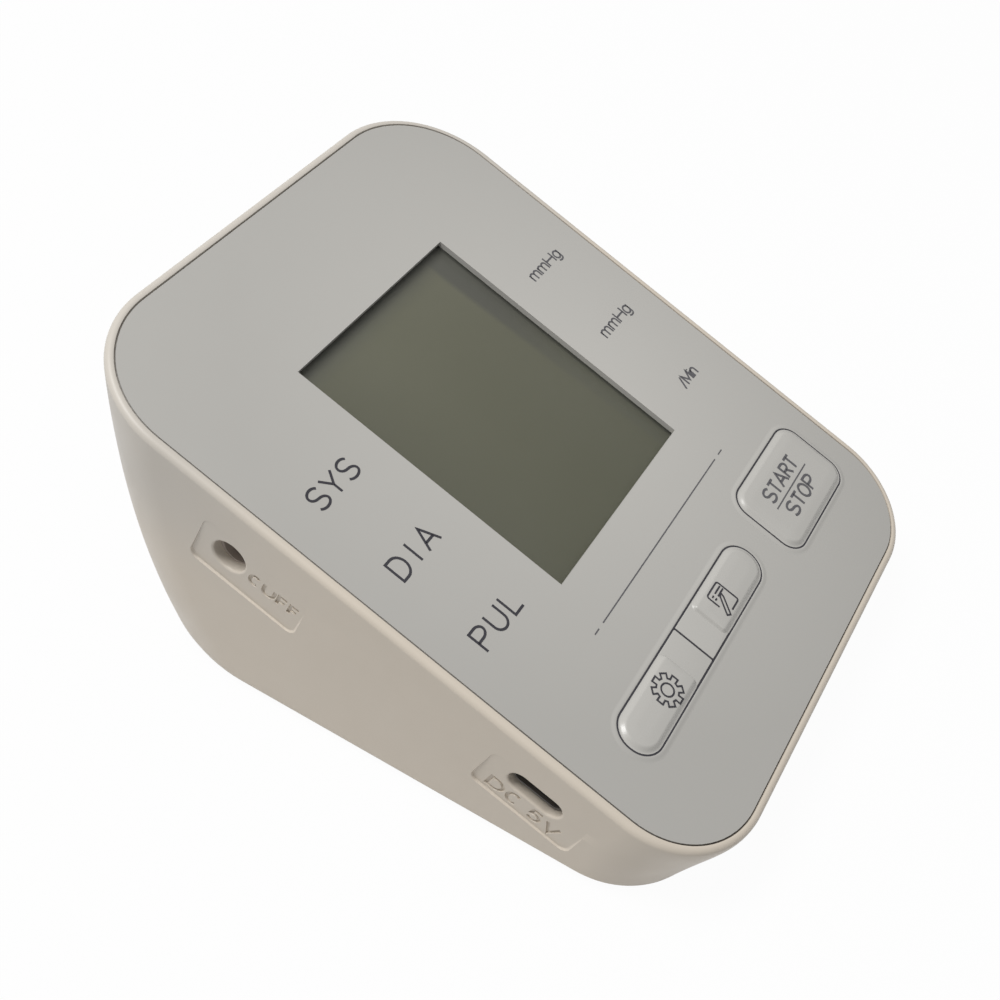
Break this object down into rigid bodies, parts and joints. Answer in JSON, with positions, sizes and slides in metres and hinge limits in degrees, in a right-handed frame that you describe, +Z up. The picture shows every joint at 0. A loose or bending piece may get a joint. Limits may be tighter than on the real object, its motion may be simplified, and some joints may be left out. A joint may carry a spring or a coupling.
{
  "type": "blood pressure monitor",
  "caption": "Wedge-shaped desktop console of an arm-cuff blood pressure monitor: sloping face with display window and keys, cuff port and power inlet in the left wall.",
  "frame": {"origin": "centre of the footprint, on the plane the feet rest on", "axes": "+X to the user's right, -Y towards the user, +Z up; the face slopes up towards +Y"},
  "size_m": [0.0954, 0.1155, 0.0529],
  "materials": {
    "base": "fine matte, warm white",
    "black_plastic": "matte black",
    "board": "green solder resist",
    "bright_metal": "plated, satin",
    "cell_wrap": "plain glossy wrap",
    "display": "smooth, grey-green",
    "elastomer": "matte dark grey",
    "foam": "soft, matte",
    "housing": "fine matte, warm white",
    "key": "satin, light grey",
    "lens": "clear, polished",
    "panel": "smooth matte, cool light grey",
    "port_plastic": "satin grey-brown",
    "silicone": "translucent white, matte",
    "white_plastic": "matte white"
  },
  "bodies": {
    "console": {"upper_housing": "housing", "lower_housing": "base", "face_panel": "panel", "window_lens": "lens", "start_switch": "black_plastic", "memory_switch": "black_plastic", "settings_switch": "black_plastic", "lcd_glass": "display", "lcd_reflector": "white_plastic", "lcd_holder": "white_plastic", "zebra_strip_front": "elastomer", "zebra_strip_rear": "elastomer", "main_board": "board", "control_chip": "black_plastic", "pressure_sensor": "white_plastic", "buzzer": "black_plastic", "usb_shell": "bright_metal", "usb_tongue": "black_plastic", "cuff_socket": "port_plastic", "socket_seal": "elastomer", "cuff_tube": "silicone", "sensor_tube": "silicone", "pump_tube": "silicone", "valve_tube": "silicone", "air_manifold": "white_plastic", "exhaust_valve": "bright_metal", "pump_motor": "bright_metal", "pump_head": "white_plastic", "pump_cushion": "foam", "battery_cell_1": "cell_wrap", "battery_cell_2": "cell_wrap", "battery_cell_3": "cell_wrap", "battery_cell_4": "cell_wrap", "battery_contacts_left": "bright_metal", "battery_contacts_right": "bright_metal", "feet": "elastomer", "housing_screws": "bright_metal", "board_screws": "bright_metal"},
    "start_key": {"start_stop_key": "key", "start_plunger": "black_plastic"},
    "memory_button": {"memory_key": "key", "memory_plunger": "black_plastic"},
    "settings_button": {"settings_key": "key", "settings_plunger": "black_plastic"},
    "door": {"battery_door": "base"}
  },
  "joints": [
    {"name": "start_key_press", "type": "slide", "parent": "console", "child": "start_key", "axis": [0, 0.3223, -0.9466], "range_m": [0, 0.0005], "stiffness_N_per_m": 3000},
    {"name": "memory_key_press", "type": "slide", "parent": "console", "child": "memory_button", "axis": [0, 0.3223, -0.9466], "range_m": [0, 0.0005], "stiffness_N_per_m": 3000},
    {"name": "settings_key_press", "type": "slide", "parent": "console", "child": "settings_button", "axis": [0, 0.3223, -0.9466], "range_m": [0, 0.0005], "stiffness_N_per_m": 3000},
    {"name": "battery_door_hinge", "type": "hinge", "parent": "console", "child": "door", "pos_m": [0.00532, 0.01755, 0.0021], "axis": [1, 0, 0], "range_deg": [0, 90]}
  ]
}
